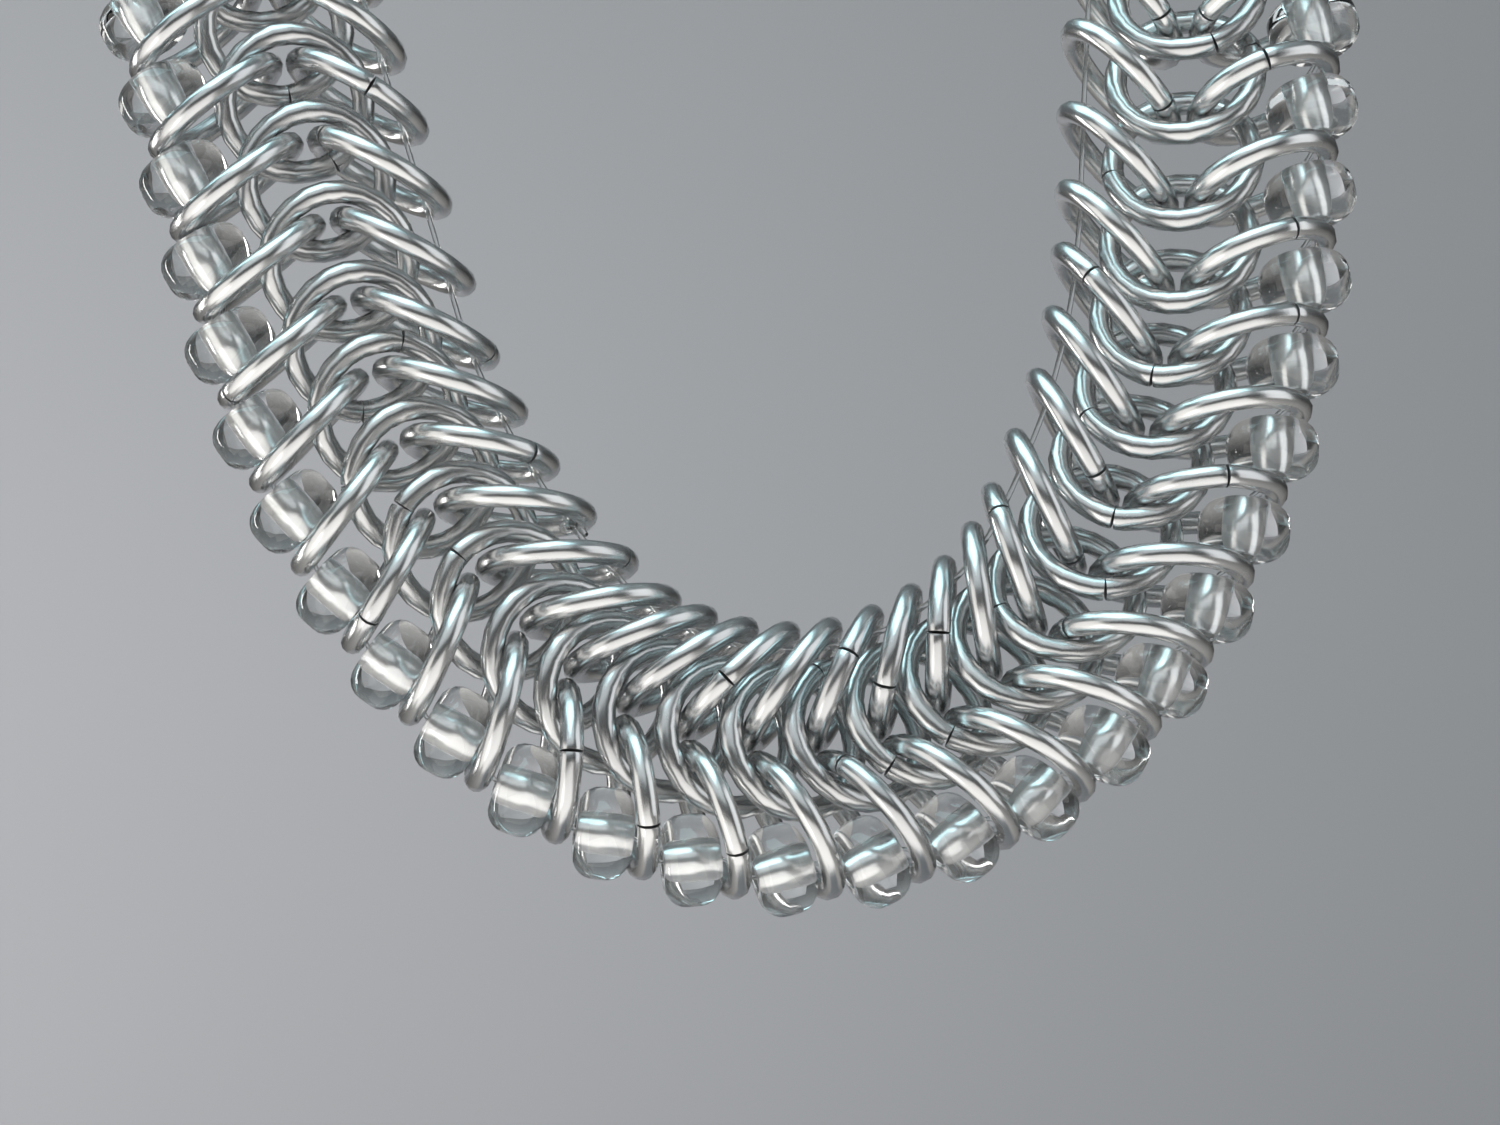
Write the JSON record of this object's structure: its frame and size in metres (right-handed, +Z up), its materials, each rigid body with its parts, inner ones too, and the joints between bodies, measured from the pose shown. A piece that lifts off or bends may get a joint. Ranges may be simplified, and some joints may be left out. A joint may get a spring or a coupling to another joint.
{
  "type": "beaded chainmail necklace",
  "caption": "Necklace of interlocked round wire rings in a three-row woven band, with glass beads set between the outer rings, closed at the nape by a plain oval link.",
  "frame": {"origin": "middle of the nape, on the line of the centre rings, where the necklace hangs from the back of the neck", "axes": "+Z up, front faces -Y, the middle plane is X = 0"},
  "size_m": [0.1102, 0.0996, 0.144],
  "materials": {
    "ring_metal": "bright polished",
    "bead_glass": "clear with a silver lining",
    "clasp_metal": "bright polished"
  },
  "bodies": {
    "root": {"centre_rings": "ring_metal", "outer_rings": "ring_metal", "inner_rings": "ring_metal", "bead_string": "bead_glass", "clasp": "clasp_metal"}
  },
  "joints": []
}
